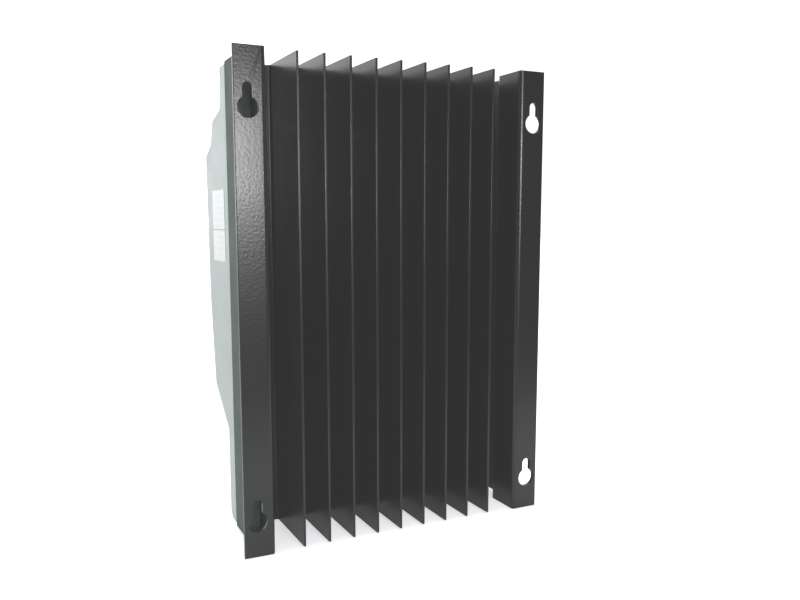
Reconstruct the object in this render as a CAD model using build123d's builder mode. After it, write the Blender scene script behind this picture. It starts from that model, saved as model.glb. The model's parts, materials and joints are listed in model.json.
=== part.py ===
from build123d import *
from math import atan2, degrees, hypot
import os

# Charge controller for wall mounting.
# Frame: X to the right seen from the front, Z up, the wall is the plane Y = 0 and the front faces -Y.
# "Depth" below always means the distance in front of the wall, so a depth d lies at Y = -d.
# Heights below are counted from the lower end of the brackets. The saved pieces have their origin on
# the wall in the middle of the four keyholes.

# ---- overall sizes -------------------------------------------------------------------------------
width = 205.0             # over both mounting flanges
height = 292.0            # length of the mounting brackets
case_half = 96.0          # half width of the case
case_bottom = 3.5         # lower edge of the case
case_top = 290.5          # upper edge of the case
fit_gap = 0.1             # clearance between neighbouring pieces that don't move
screw_gap = 0.05          # clearance around each screw shank
passing_gap = 0.3         # clearance in holes that a screw only passes through

# ---- screws: shank radius, pan head radius -----------------------------------------------------------
m25 = 1.25
m3 = 1.5
m4 = 2.0
m5 = 2.5
m25_head = 2.25
m3_head = 2.75
m4_head = 3.8
m5_head = 4.6
clamp_head = 3.9
head_ratio = 0.72         # height of a pan head per head radius
recess_ratio = 1.3        # length of a cross recess per head radius
cover_screw_length = 7.0
chassis_screw_length = 8.5
foot_screw_length = 33.0
earth_screw_length = 6.0
hatch_screw_length = 6.0
small_screw_length = 6.0
board_screw_length = 6.5
transistor_screw_length = 10.0
clamp_screw_length = 5.0

# ---- mounting brackets ---------------------------------------------------------------------------
sheet = 2.5
flange_width = 18.7
web_depth = 26.9          # wall plane to the front face of the foot
foot_width = 9.8
bend_inside = 0.4
keyhole_x = 94.5
keyhole_z = (21.3, 258.8)
keyhole_head = 6.0        # radius of the round entry
keyhole_slot = 3.0        # half width of the slot
keyhole_rise = 10.4       # centre of the entry to centre of the slot end
foot_screw_x = 90.6
foot_screw_z = (80.0, 136.0, 192.0, 248.0)

# ---- heat sink -----------------------------------------------------------------------------------
fin_count = 9
fin_pitch = 16.26
fin_tip_depth = 1.9
fin_tip = 1.4
fin_root = 2.2
fin_root_radius = 1.0
fin_overlap = 0.5
plate_rear = 51.7
plate_front = 57.7
plate_half = 87.2
blind_hole = 5.2          # depth of the threaded holes in the base plate
sink_bottom = 0.4
sink_top = 291.6

# ---- side rails ----------------------------------------------------------------------------------
rail_inner = 88.0
rail_back = 2.2           # wall of the rail behind the bracket's foot
groove_gap = 0.3          # clearance around the foot in the rail's groove
rail_lip_inner = 79.0
rail_lip = 3.0
skirt_rear = 44.9         # depth of the rear edge of the cover's side skirts
chassis_screw_x = 83.2
chassis_screw_z = (74.0, 134.0, 194.0, 254.0)

# ---- front cover, side outline as (depth, height) ------------------------------------------------
wall = 2.2
shelf = 60.2              # depth of the low ledges at both ends
slope_foot = (shelf, 62.4)
slope_head = (92.0, 87.0)
face_break = (100.2, 144.0)
face_top = (103.0, 239.5)
step_root = (88.0, 246.5)
step_top = (82.0, 260.5)
shelf_root = (shelf, 266.0)
bottom_radius = 8.0
top_radius = 4.0
bend_radius = 2.4
root_radius = 5.0
edge_radius = 3.0
cover_screw_x = (-74.0, 0.0, 74.0)
cover_screw_z = (26.0, 275.0)
boss_radius = 4.0
earth_window = 7.0        # hole in the cover around the earth screw

# ---- wiring cover --------------------------------------------------------------------------------
hatch_half = 80.0
hatch_low = 5.0           # above the lower edge of the sloped face it lies in
hatch_high = 51.5
hatch_rim = 3.0
hatch_ear = 9.0
hatch_screw_x = 75.5
hatch_gap = 0.3
hatch_radius = 3.7
rim_thickness = 1.6
rim_overlap = 0.3

# ---- display and keys, in the plane of the upper front face --------------------------------------
window_size = (72.0, 38.0)
window_y = 16.0
window_radius = 2.0
overlay_size = (132.0, 82.0)
overlay_radius = 4.0
overlay_thickness = 0.5
key_size = (15.0, 9.0)
key_radius = 2.0
key_edge = 0.6
key_x = (-36.0, -12.0, 12.0, 36.0)
key_y = -25.0
key_names = ("key_menu", "key_down", "key_up", "key_enter")
key_proud = 1.4
key_gap = 0.25
key_travel = 0.8
key_flange = 1.0
key_margin = 2.4          # of the retaining flange over the cap, both sides together
stem_radius = 2.0
plunger_top = 7.0         # depths behind the cover's face
plunger_radius = 1.7
switch_side = 6.2
switch_height = 3.6
switch_floor = 0.6
lens_flange = 1.2
lens_margin = 5.0         # widths of the flange, glass and frame over the window, both sides together
lcd_margin = 3.0
frame_margin = 8.0
lcd_depth = 3.6
lcd_glass = 2.6
light_x = 51.0
light_y = (26.0, 16.0, 6.0)
light_radius = 2.0
light_length = 9.2
light_proud = 0.2
light_flange = 1.0
led_radius = 1.6
led_height = 2.6
display_board_size = (124.0, 76.0)
display_board_depth = 12.0   # front face of the display board behind the cover's face
board_thickness = 1.6
board_radius = 2.0
post_radius = 3.0
post_root = 0.5           # overlap of the posts with the cover's wall
board_posts = ((-57.0, -33.0), (57.0, -33.0), (-57.0, 33.0), (57.0, 33.0))
plunger_length = display_board_depth - switch_floor - key_travel - plunger_top - 2 * fit_gap
ribbon_y = -8.0
ribbon_thickness = 0.3
ribbon_width = 22.0
ribbon_drop = 2.0
connector_size = (26.0, 6.0)
connector_height = 4.0

# ---- main board ----------------------------------------------------------------------------------
main_board_size = (168.0, 162.0)
main_board_z = 171.0
standoff = 8.0
standoff_radius = 3.2
standoff_stud = 4.3
standoff_thread = 5.5
main_front = plate_front + standoff + board_thickness
standoff_points = [(x, z) for x in (-79.0, 79.0) for z in (96.0, 171.0, 246.0)]
transistor_x = (-63.0, -45.0, -27.0, -9.0, 9.0, 27.0, 45.0, 63.0)
transistor_screw_z = 236.0
transistor_screw_offset = 4.2       # screw hole above the middle of the package
transistor_size = (15.6, 20.6)
transistor_height = 5.0
driver_hole = 4.0         # hole in the board over each transistor screw
lead_pitch = 5.45
lead_width = 1.2
lead_thickness = 0.6
lead_length = 4.0
lead_height = 2.4
pad_size = (17.0, 22.0)
pad_thickness = 0.3
toroid_x = (-50.0, 50.0)
toroid_z = 133.0
core_outer = 17.5
core_inner = 9.5
core_height = 15.0
wire = 2.6
winding_height = 20.0
winding_arc = 320.0
capacitor_pitch = 18.5
capacitor_radius = 8.0
capacitor_height = 25.0
capacitor_edge = 0.8
shunt_x = (-16.0, 16.0)
shunt_z = 162.0
shunt_size = (22.0, 5.0, 5.0)
shunt_span = 16.0
shunt_strip = 1.0
fuse_x = (-56.0, 56.0)
fuse_z = 168.0
fuse_holder = (19.0, 7.0, 6.0)
fuse_body = (16.0, 5.0, 7.0)
processor_at = (-8.0, 205.0)
processor_side = 14.0
driver_points = ((-40.0, 203.0), (28.0, 200.0))
driver_size = (10.0, 7.0)
chip_thickness = 1.6
pole_pitch = 19.0
pole_x = tuple(-62.5 + pole_pitch * i for i in range(6))
terminal_low = 91.0
terminal_length = 19.0
terminal_height = 18.0
pocket_size = (13.0, 12.0, 14.0)
cage_size = (12.6, 11.6, 12.0)
cage_bore = (9.6, 6.6)
cage_floor = 1.5
clamp_rise = 8.2          # middle of the clamps in front of the board
clamp_inset = 7.5
comm_x = 53.5
sensor_x = 69.5
comm_opening = (17.0, 15.0)     # across, and in depth from the board's face
sensor_opening = (9.5, 12.0)
socket_cut = 25.0
socket_margin = 1.0       # of the opening around each socket
jack_wall = 1.5
jack_length = 15.0

earth_x = 50.0
earth_z = 40.0
washer_radius = 5.5
washer_thickness = 1.0

# ---- cable grommets ------------------------------------------------------------------------------
grommet_rise = 6.5        # centre of the cable holes, measured up the slope from its middle
cable_hole = 7.5
grommet_bore = 5.5
grommet_flange = 9.3
grommet_lip = 1.8

# ---- labels --------------------------------------------------------------------------------------
label_thickness = 0.2
label_radius = 1.0
label_depth = (53.5, 84.0)
label_lower = (171.0, 190.6)
label_upper = (191.3, 215.7)

inward = (Align.CENTER, Align.CENTER, Align.MAX)
outward = (Align.CENTER, Align.CENTER, Align.MIN)
standing = (Align.CENTER, Align.MAX, Align.MIN)       # on the board's front face, from a height upwards

os.makedirs("parts", exist_ok=True)

# Planes: cross_section looks along -Z with depth upwards in the sketch, side_view has depth to the right.


def cross_section(z):
    return Plane(origin=(0, 0, z), x_dir=(1, 0, 0), z_dir=(0, 0, -1))


def side_view(x):
    return Plane(origin=(x, 0, 0), x_dir=(0, -1, 0), z_dir=(-1, 0, 0))


def front_view(depth):
    return Plane.XZ.offset(depth)


def tilted_plane(low, high):
    """Plane of a cover face that runs from low to high in the side outline; its normal points out."""
    length = hypot(high[0] - low[0], high[1] - low[1])
    along = ((high[0] - low[0]) / length, (high[1] - low[1]) / length)
    middle = ((high[0] + low[0]) / 2, (high[1] + low[1]) / 2)
    return Plane(origin=(0, -middle[0], middle[1]), x_dir=(1, 0, 0), z_dir=(0, -along[1], -along[0]))


def front_point(x, depth, z):
    """Place on a surface that faces the front; local Z points to the front."""
    return Location(Plane(origin=(x, -depth, z), x_dir=(1, 0, 0), z_dir=(0, -1, 0)))


def on_plane(plane, x, y, out=0):
    """Place in the coordinates of a tilted plane, out being the height above it."""
    return Location(plane) * Location((x, y, out))


def pan_screw(shank, head, length):
    """Cross-recess screw under its head plane; local Z points out of the head."""
    head_height = head * head_ratio
    recess = head * recess_ratio
    slot = recess * 0.28
    with BuildPart() as screw:
        Cylinder(shank, length, align=inward)
        Cylinder(head, head_height, align=outward)
        fillet(screw.faces().sort_by(Axis.Z)[-1].edges(), radius=head_height * 0.45)
        with Locations((0, 0, head_height)):
            Box(recess, slot, head_height, mode=Mode.SUBTRACT)
            Box(slot, recess, head_height, mode=Mode.SUBTRACT)
    return screw.part


def save(part, name):
    """Write one piece with its origin in the middle of the keyholes."""
    placed = part.moved(Location((0, 0, -sum(keyhole_z) / len(keyhole_z))))
    placed.label = name
    export_step(placed, "parts/" + name + ".step")


face_plane = tilted_plane(face_break, face_top)
hatch_plane = tilted_plane(slope_head, face_break)
slope_plane = tilted_plane(slope_foot, slope_head)
slope_length = hypot(slope_head[0] - slope_foot[0], slope_head[1] - slope_foot[1])
hatch_face = hypot(face_break[0] - slope_head[0], face_break[1] - slope_head[1])
hatch_center = (hatch_low + hatch_high) / 2 - hatch_face / 2
hatch_length = hatch_high - hatch_low
cover_screw_points = [(x, z) for x in cover_screw_x for z in cover_screw_z]
chassis_screw_points = [(side * chassis_screw_x, z) for side in (-1, 1) for z in chassis_screw_z]
foot_screw_points = [(side * foot_screw_x, z) for side in (-1, 1) for z in foot_screw_z]
rail_rear = web_depth - sheet - groove_gap - rail_back

# ---- side outline of the case --------------------------------------------------------------------
with BuildSketch(Plane.XY) as case_outline:
    with BuildLine():
        Polyline(
            (rail_rear, case_bottom),
            (shelf, case_bottom),
            slope_foot,
            slope_head,
            face_break,
            face_top,
            step_root,
            step_top,
            shelf_root,
            (shelf, case_top),
            (rail_rear, case_top),
            close=True,
        )
    make_face()
    fillet([v for v in case_outline.vertices() if v.X == shelf and v.Y == case_bottom], radius=bottom_radius)
    fillet([v for v in case_outline.vertices() if v.X == shelf and v.Y == case_top], radius=top_radius)
    bends = [v for v in case_outline.vertices() if v.X >= step_top[0]]
    fillet(bends, radius=bend_radius)
    roots = [v for v in case_outline.vertices() if v.Y in (slope_foot[1], shelf_root[1])]
    fillet(roots, radius=root_radius)
outline_face = case_outline.sketch.faces()[0]

# ---- mounting brackets: C section, flange on the wall, foot in the side rail's groove --------------
flange_inner = width / 2 - flange_width
foot_end = flange_inner + foot_width
with BuildPart() as bracket_right:
    with BuildSketch(cross_section(height)) as bracket_section:
        with BuildLine():
            Polyline(
                (width / 2, 0),
                (flange_inner, 0),
                (flange_inner, web_depth),
                (foot_end, web_depth),
                (foot_end, web_depth - sheet),
                (flange_inner + sheet, web_depth - sheet),
                (flange_inner + sheet, sheet),
                (width / 2, sheet),
                close=True,
            )
        make_face()
        outside_bends = bracket_section.vertices().sort_by(Axis.X)[0:2]
        fillet(outside_bends, radius=bend_inside + sheet)
        inside = [v for v in bracket_section.vertices() if abs(v.X - flange_inner - sheet) < 0.01]
        fillet(inside, radius=bend_inside)
    extrude(amount=height)
    # the foot is shorter than the flange and ends level with the case
    for low, high in ((0, case_bottom), (case_top, height)):
        with Locations((foot_end, -web_depth, (low + high) / 2)):
            Box(2 * (foot_width - sheet), 2 * sheet, high - low, mode=Mode.SUBTRACT)
    with BuildSketch(front_view(0)):
        for z in keyhole_z:
            with Locations((keyhole_x, z)):
                Circle(keyhole_head)
            with Locations((keyhole_x, z + keyhole_rise / 2)):
                Rectangle(2 * keyhole_slot, keyhole_rise)
            with Locations((keyhole_x, z + keyhole_rise)):
                Circle(keyhole_slot)
    extrude(amount=sheet, mode=Mode.SUBTRACT)
    with Locations(*[front_point(foot_screw_x, web_depth, z) for z in foot_screw_z]):
        Hole(m3 + screw_gap, depth=sheet)
save(bracket_right.part, "bracket_right")

with BuildPart() as bracket_left:
    mirror(bracket_right.part, about=Plane.YZ)
save(bracket_left.part, "bracket_left")

# ---- heat sink: one extrusion, base plate with straight fins --------------------------------------
fin_x = [fin_pitch * (i - (fin_count - 1) / 2) for i in range(fin_count)]
with BuildPart() as heat_sink:
    with BuildSketch(cross_section(sink_top)) as sink_section:
        with Locations((0, (plate_rear + plate_front) / 2)):
            Rectangle(2 * plate_half, plate_front - plate_rear)
        for x in fin_x:
            with BuildLine():
                Polyline(
                    (x - fin_root / 2, plate_rear + fin_overlap),
                    (x - fin_root / 2, plate_rear),
                    (x - fin_tip / 2, fin_tip_depth),
                    (x + fin_tip / 2, fin_tip_depth),
                    (x + fin_root / 2, plate_rear),
                    (x + fin_root / 2, plate_rear + fin_overlap),
                    close=True,
                )
            make_face()
        rear_points = [v for v in sink_section.vertices() if abs(v.Y - plate_rear) < 0.01]
        fillet([v for v in rear_points if abs(v.X) < plate_half - fin_root], radius=fin_root_radius)
    extrude(amount=sink_top - sink_bottom)
    m3_points = cover_screw_points + standoff_points + [(x, transistor_screw_z) for x in transistor_x]
    with Locations(*[front_point(x, plate_front, z) for x, z in m3_points]):
        Hole(m3 + screw_gap, depth=blind_hole)
    with Locations(front_point(earth_x, plate_front, earth_z)):
        Hole(m5 + screw_gap, depth=blind_hole)
    with Locations(*[front_point(x, plate_front, z) for x, z in chassis_screw_points]):
        Hole(m4 + passing_gap)
save(heat_sink.part, "heat_sink")

# ---- side rails: groove for the bracket's foot, rebate for the cover, lip under the base plate -------
with BuildPart() as side_rail_right:
    with BuildSketch(cross_section(case_top)):
        with BuildLine():
            Polyline(
                (case_half, rail_rear),
                (case_half, skirt_rear),
                (case_half - wall - fit_gap, skirt_rear),
                (case_half - wall - fit_gap, plate_front),
                (rail_inner, plate_front),
                (rail_inner, plate_rear),
                (rail_lip_inner, plate_rear),
                (rail_lip_inner, plate_rear - rail_lip),
                (rail_inner, plate_rear - rail_lip),
                (rail_inner, web_depth + groove_gap),
                (foot_end + groove_gap, web_depth + groove_gap),
                (foot_end + groove_gap, web_depth - sheet - groove_gap),
                (flange_inner + sheet + groove_gap, web_depth - sheet - groove_gap),
                (flange_inner + sheet + groove_gap, rail_rear),
                close=True,
            )
        make_face()
    extrude(amount=case_top - case_bottom)
    with BuildSketch(side_view(0)):
        add(outline_face)
    extrude(amount=-width / 2, mode=Mode.INTERSECT)
    with Locations(*[front_point(foot_screw_x, plate_front, z) for z in foot_screw_z]):
        Hole(m3 + passing_gap, depth=plate_front - web_depth)
    with Locations(*[front_point(chassis_screw_x, plate_rear, z) for z in chassis_screw_z]):
        Hole(m4 + screw_gap, depth=rail_lip)
save(side_rail_right.part, "side_rail_right")

with BuildPart() as side_rail_left:
    mirror(side_rail_right.part, about=Plane.YZ)
save(side_rail_left.part, "side_rail_left")

# ---- front cover: shell with side skirts that lap over the rails -----------------------------------
with BuildPart() as front_cover:
    with BuildSketch(side_view(0)):
        add(outline_face)
    extrude(amount=case_half, both=True)
    with Locations((0, -rail_rear, (case_bottom + case_top) / 2)):
        Box(2 * width, 2 * (skirt_rear - rail_rear), 2 * height, mode=Mode.SUBTRACT)
    side_edges = [
        e for e in front_cover.edges()
        if abs(abs(e.center().X) - case_half) < 0.01 and e.center().Y < -skirt_rear - wall / 4
    ]
    fillet(side_edges, radius=edge_radius)
    # hollow, open at the back
    with BuildSketch(side_view(0)):
        add(offset(outline_face, amount=-wall, mode=Mode.PRIVATE))
        with Locations((rail_rear, (case_bottom + case_top) / 2)):
            Rectangle(2 * (plate_front - rail_rear), 2 * height, mode=Mode.SUBTRACT)
    extrude(amount=case_half - wall, both=True, mode=Mode.SUBTRACT)
    with Locations((0, -rail_rear, (case_bottom + case_top) / 2)):
        Box(2 * (case_half - wall), 2 * (plate_front + fit_gap - rail_rear), 2 * height, mode=Mode.SUBTRACT)
    # screw bosses down to the base plate
    with Locations(*[front_point(x, plate_front + fit_gap, z) for x, z in cover_screw_points]):
        Cylinder(boss_radius, shelf - wall / 2 - plate_front, align=outward)
        Cylinder(m3 + passing_gap, 4 * wall, align=outward, mode=Mode.SUBTRACT)
    with Locations(front_point(earth_x, plate_front, earth_z)):
        Cylinder(earth_window, 4 * wall, align=outward, mode=Mode.SUBTRACT)
    # posts behind the display, and the openings in the face
    with Locations(*[on_plane(face_plane, x, y, -wall + post_root) for x, y in board_posts]):
        Cylinder(post_radius, display_board_depth - wall + post_root, align=inward)
    with Locations(*[on_plane(face_plane, x, y, -display_board_depth) for x, y in board_posts]):
        Cylinder(m25 + screw_gap, small_screw_length, align=outward, mode=Mode.SUBTRACT)
    with BuildSketch(face_plane):
        RectangleRounded(overlay_size[0] + 2 * fit_gap, overlay_size[1] + 2 * fit_gap, overlay_radius + fit_gap)
    extrude(amount=-overlay_thickness, mode=Mode.SUBTRACT)
    with BuildSketch(face_plane):
        with Locations((0, window_y)):
            RectangleRounded(
                window_size[0] + 2 * fit_gap, window_size[1] + 2 * fit_gap, window_radius + fit_gap
            )
        with Locations(*[(x, key_y) for x in key_x]):
            RectangleRounded(key_size[0] + 2 * key_gap, key_size[1] + 2 * key_gap, key_radius + key_gap)
        with Locations(*[(light_x, y) for y in light_y]):
            Circle(light_radius + screw_gap)
    extrude(amount=-2 * wall, mode=Mode.SUBTRACT)
    # opening for the wiring cover, with the rim that it rests on
    with BuildSketch(hatch_plane.offset(-wall + rim_overlap)):
        with Locations((0, hatch_center)):
            RectangleRounded(
                2 * (hatch_half + hatch_rim), hatch_length + 2 * hatch_rim, hatch_radius + hatch_rim
            )
    extrude(amount=-rim_thickness - rim_overlap)
    with BuildSketch(hatch_plane):
        with Locations((0, hatch_center)):
            RectangleRounded(
                2 * (hatch_half + hatch_gap), hatch_length + 2 * hatch_gap, hatch_radius + hatch_gap
            )
    extrude(amount=-wall, mode=Mode.SUBTRACT)
    with BuildSketch(hatch_plane):
        with Locations((0, hatch_center)):
            RectangleRounded(2 * (hatch_half - hatch_ear), hatch_length - 2 * hatch_rim, hatch_rim)
    extrude(amount=-3 * wall, mode=Mode.SUBTRACT)
    with Locations(*[on_plane(hatch_plane, x, hatch_center) for x in (-hatch_screw_x, hatch_screw_x)]):
        Cylinder(m3 + screw_gap, 8 * wall, mode=Mode.SUBTRACT)
    # cable holes and socket openings in the slope
    with Locations(*[on_plane(slope_plane, x, grommet_rise) for x in pole_x]):
        Cylinder(cable_hole, 4 * wall, mode=Mode.SUBTRACT)
    for x, opening in ((comm_x, comm_opening), (sensor_x, sensor_opening)):
        with Locations((x, -(main_front + opening[1] / 2), slope_foot[1] + socket_cut / 2)):
            Box(opening[0], opening[1], socket_cut, mode=Mode.SUBTRACT)
save(front_cover.part, "front_cover")

with BuildPart() as cover_screws:
    with Locations(*[front_point(x, shelf, z) for x, z in cover_screw_points]):
        add(pan_screw(m3, m3_head, cover_screw_length))
save(cover_screws.part, "cover_screws")

# ---- screws that hold the frame together -----------------------------------------------------------
with BuildPart() as chassis_screws:
    with Locations(*[front_point(x, plate_front, z) for x, z in chassis_screw_points]):
        add(pan_screw(m4, m4_head, chassis_screw_length))
save(chassis_screws.part, "chassis_screws")

with BuildPart() as bracket_screws:
    with Locations(*[front_point(x, plate_front, z) for x, z in foot_screw_points]):
        add(pan_screw(m3, m3_head, foot_screw_length))
save(bracket_screws.part, "bracket_screws")

with BuildPart() as earth_washer:
    with Locations(front_point(earth_x, plate_front, earth_z)):
        Cylinder(washer_radius, washer_thickness, align=outward)
        Cylinder(m5 + fit_gap, washer_thickness, align=outward, mode=Mode.SUBTRACT)
save(earth_washer.part, "earth_washer")

with BuildPart() as earth_screw:
    with Locations(front_point(earth_x, plate_front + washer_thickness, earth_z)):
        add(pan_screw(m5, m5_head, earth_screw_length))
save(earth_screw.part, "earth_screw")

# ---- wiring cover ----------------------------------------------------------------------------------
with BuildPart() as wiring_cover:
    with BuildSketch(hatch_plane):
        with Locations((0, hatch_center)):
            RectangleRounded(2 * hatch_half, hatch_length, hatch_radius)
    extrude(amount=-wall)
    with Locations(*[on_plane(hatch_plane, x, hatch_center) for x in (-hatch_screw_x, hatch_screw_x)]):
        Cylinder(m3 + passing_gap, 4 * wall, mode=Mode.SUBTRACT)
save(wiring_cover.part, "wiring_cover")

with BuildPart() as wiring_cover_screws:
    with Locations(*[on_plane(hatch_plane, x, hatch_center) for x in (-hatch_screw_x, hatch_screw_x)]):
        add(pan_screw(m3, m3_head, hatch_screw_length))
save(wiring_cover_screws.part, "wiring_cover_screws")

# ---- display stack ---------------------------------------------------------------------------------
with BuildPart() as front_overlay:
    with BuildSketch(face_plane.offset(-overlay_thickness)):
        RectangleRounded(overlay_size[0], overlay_size[1], overlay_radius)
        with Locations((0, window_y)):
            RectangleRounded(
                window_size[0] + 2 * fit_gap, window_size[1] + 2 * fit_gap, window_radius + fit_gap,
                mode=Mode.SUBTRACT,
            )
        with Locations(*[(x, key_y) for x in key_x]):
            RectangleRounded(
                key_size[0] + 2 * key_gap, key_size[1] + 2 * key_gap, key_radius + key_gap,
                mode=Mode.SUBTRACT,
            )
        with Locations(*[(light_x, y) for y in light_y]):
            Circle(light_radius + screw_gap, mode=Mode.SUBTRACT)
    extrude(amount=overlay_thickness)
save(front_overlay.part, "front_overlay")

with BuildPart() as display_window:
    with BuildSketch(face_plane):
        with Locations((0, window_y)):
            RectangleRounded(window_size[0], window_size[1], window_radius)
    extrude(amount=-wall - lens_flange)
    with BuildSketch(face_plane.offset(-wall - screw_gap)):
        with Locations((0, window_y)):
            RectangleRounded(window_size[0] + lens_margin, window_size[1] + lens_margin, window_radius)
    extrude(amount=-lens_flange + screw_gap)
save(display_window.part, "display_window")

with BuildPart() as lcd_panel:
    with Locations(on_plane(face_plane, 0, window_y, -lcd_depth)):
        Box(window_size[0] + lcd_margin, window_size[1] + lcd_margin, lcd_glass, align=inward)
save(lcd_panel.part, "lcd_panel")

with BuildPart() as lcd_frame:
    with Locations(on_plane(face_plane, 0, window_y, -lcd_depth)):
        Box(
            window_size[0] + frame_margin, window_size[1] + frame_margin, display_board_depth - lcd_depth,
            align=inward,
        )
        Box(
            window_size[0] + lcd_margin + 2 * fit_gap, window_size[1] + lcd_margin + 2 * fit_gap,
            lcd_glass + screw_gap, align=inward, mode=Mode.SUBTRACT,
        )
save(lcd_frame.part, "lcd_frame")

with BuildPart() as display_board:
    with BuildSketch(face_plane.offset(-display_board_depth)):
        RectangleRounded(display_board_size[0], display_board_size[1], board_radius)
        with Locations(*board_posts):
            Circle(m25 + passing_gap, mode=Mode.SUBTRACT)
    extrude(amount=-board_thickness)
save(display_board.part, "display_board")

display_board_back = display_board_depth + board_thickness
back_plane = face_plane.offset(-display_board_back)
back_view = Plane(origin=back_plane.origin, x_dir=back_plane.x_dir, z_dir=-back_plane.z_dir)
with BuildPart() as display_board_screws:
    with Locations(*[on_plane(back_view, x, y) for x, y in board_posts]):
        add(pan_screw(m25, m25_head, small_screw_length))
save(display_board_screws.part, "display_board_screws")

# ---- keys: cap with a retaining flange and a stem on the switch plunger -----------------------------
for key_name, x in zip(key_names, key_x):
    with BuildPart() as key_cap:
        with BuildSketch(face_plane.offset(-wall - screw_gap)):
            with Locations((x, key_y)):
                RectangleRounded(key_size[0], key_size[1], key_radius)
        extrude(amount=wall + screw_gap + key_proud)
        top_face = key_cap.faces().sort_by(Axis.Y)[0]
        fillet(top_face.edges(), radius=key_edge)
        with Locations(on_plane(face_plane, x, key_y, -wall - screw_gap)):
            Box(key_size[0] + key_margin, key_size[1] + key_margin, key_flange, align=inward)
            Cylinder(stem_radius, plunger_top - wall - screw_gap, align=inward)
    save(key_cap.part, key_name)

    with BuildPart() as plunger:
        with Locations(on_plane(face_plane, x, key_y, -plunger_top)):
            Cylinder(plunger_radius, plunger_length, align=inward)
    save(plunger.part, key_name.replace("key", "plunger"))

with BuildPart() as switch_bodies:
    with Locations(*[on_plane(face_plane, x, key_y, -display_board_depth) for x in key_x]):
        Box(switch_side, switch_side, switch_height, align=outward)
    with Locations(*[on_plane(face_plane, x, key_y, -display_board_depth + switch_floor) for x in key_x]):
        Cylinder(plunger_radius + screw_gap, switch_height, align=outward, mode=Mode.SUBTRACT)
save(switch_bodies.part, "switch_bodies")

with BuildPart() as light_pipes:
    with Locations(*[on_plane(face_plane, light_x, y, light_proud) for y in light_y]):
        Cylinder(light_radius, light_length, align=inward)
    with Locations(*[on_plane(face_plane, light_x, y, -wall - screw_gap) for y in light_y]):
        Cylinder(light_radius + light_flange, light_flange, align=inward)
save(light_pipes.part, "light_pipes")

with BuildPart() as indicator_leds:
    with Locations(*[on_plane(face_plane, light_x, y, -display_board_depth) for y in light_y]):
        Cylinder(led_radius, led_height, align=outward)
save(indicator_leds.part, "indicator_leds")

# ---- ribbon cable between the two boards -----------------------------------------------------------
ribbon_plane = on_plane(face_plane, 0, ribbon_y, -display_board_back - connector_height)
ribbon_top = -ribbon_plane.position.Y
ribbon_low = main_front + connector_height
ribbon_middle = (ribbon_top + ribbon_low) / 2
ribbon_radius = (ribbon_top - ribbon_low) / 2 - passing_gap
ribbon_z = ribbon_plane.position.Z - ribbon_drop
with BuildPart() as ribbon_connectors:
    with Locations(on_plane(face_plane, 0, ribbon_y, -display_board_back)):
        Box(connector_size[0], connector_size[1], connector_height, align=inward)
    with Locations(front_point(0, main_front, ribbon_z)):
        Box(connector_size[0], connector_size[1], connector_height, align=outward)
save(ribbon_connectors.part, "ribbon_connectors")

# the ribbon hangs in a half circle below its two ends
with BuildPart() as ribbon_cable:
    with BuildSketch(side_view(0)):
        with Locations((ribbon_middle, ribbon_z)):
            Circle(ribbon_radius)
            Circle(ribbon_radius - ribbon_thickness, mode=Mode.SUBTRACT)
        with Locations((ribbon_middle, ribbon_z + ribbon_radius)):
            Rectangle(2 * ribbon_radius, 2 * ribbon_radius, mode=Mode.SUBTRACT)
    extrude(amount=ribbon_width / 2, both=True)
save(ribbon_cable.part, "ribbon_cable")

# ---- main board and its supports -------------------------------------------------------------------
with BuildPart() as main_board:
    with BuildSketch(front_view(plate_front + standoff)):
        with Locations((0, main_board_z)):
            RectangleRounded(main_board_size[0], main_board_size[1], board_radius)
        with Locations(*standoff_points):
            Circle(m3 + passing_gap, mode=Mode.SUBTRACT)
        with Locations(*[(x, transistor_screw_z) for x in transistor_x]):
            Circle(driver_hole, mode=Mode.SUBTRACT)
    extrude(amount=board_thickness)
save(main_board.part, "main_board")

with BuildPart() as board_standoffs:
    with BuildSketch(front_view(plate_front)):
        with Locations(*standoff_points):
            RegularPolygon(standoff_radius, 6)
    extrude(amount=standoff)
    with Locations(*[front_point(x, plate_front, z) for x, z in standoff_points]):
        Cylinder(m3, standoff_stud, align=inward)
    with Locations(*[front_point(x, plate_front + standoff, z) for x, z in standoff_points]):
        Cylinder(m3 + screw_gap, standoff_thread, align=inward, mode=Mode.SUBTRACT)
save(board_standoffs.part, "board_standoffs")

with BuildPart() as board_screws:
    with Locations(*[front_point(x, main_front, z) for x, z in standoff_points]):
        add(pan_screw(m3, m3_head, board_screw_length))
save(board_screws.part, "board_screws")

# ---- power transistors, clamped to the base plate under the board ----------------------------------
transistor_z = transistor_screw_z - transistor_screw_offset
transistor_rear = plate_front + pad_thickness
lead_depth = transistor_rear + lead_height
lead_root_z = transistor_z - transistor_size[1] / 2
lead_tip_z = lead_root_z - lead_length
with BuildPart() as thermal_pads:
    with Locations(*[front_point(x, plate_front, transistor_z) for x in transistor_x]):
        Box(pad_size[0], pad_size[1], pad_thickness, align=outward)
    with Locations(*[front_point(x, plate_front, transistor_screw_z) for x in transistor_x]):
        Cylinder(m3 + passing_gap, 4 * pad_thickness, mode=Mode.SUBTRACT)
save(thermal_pads.part, "thermal_pads")

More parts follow.
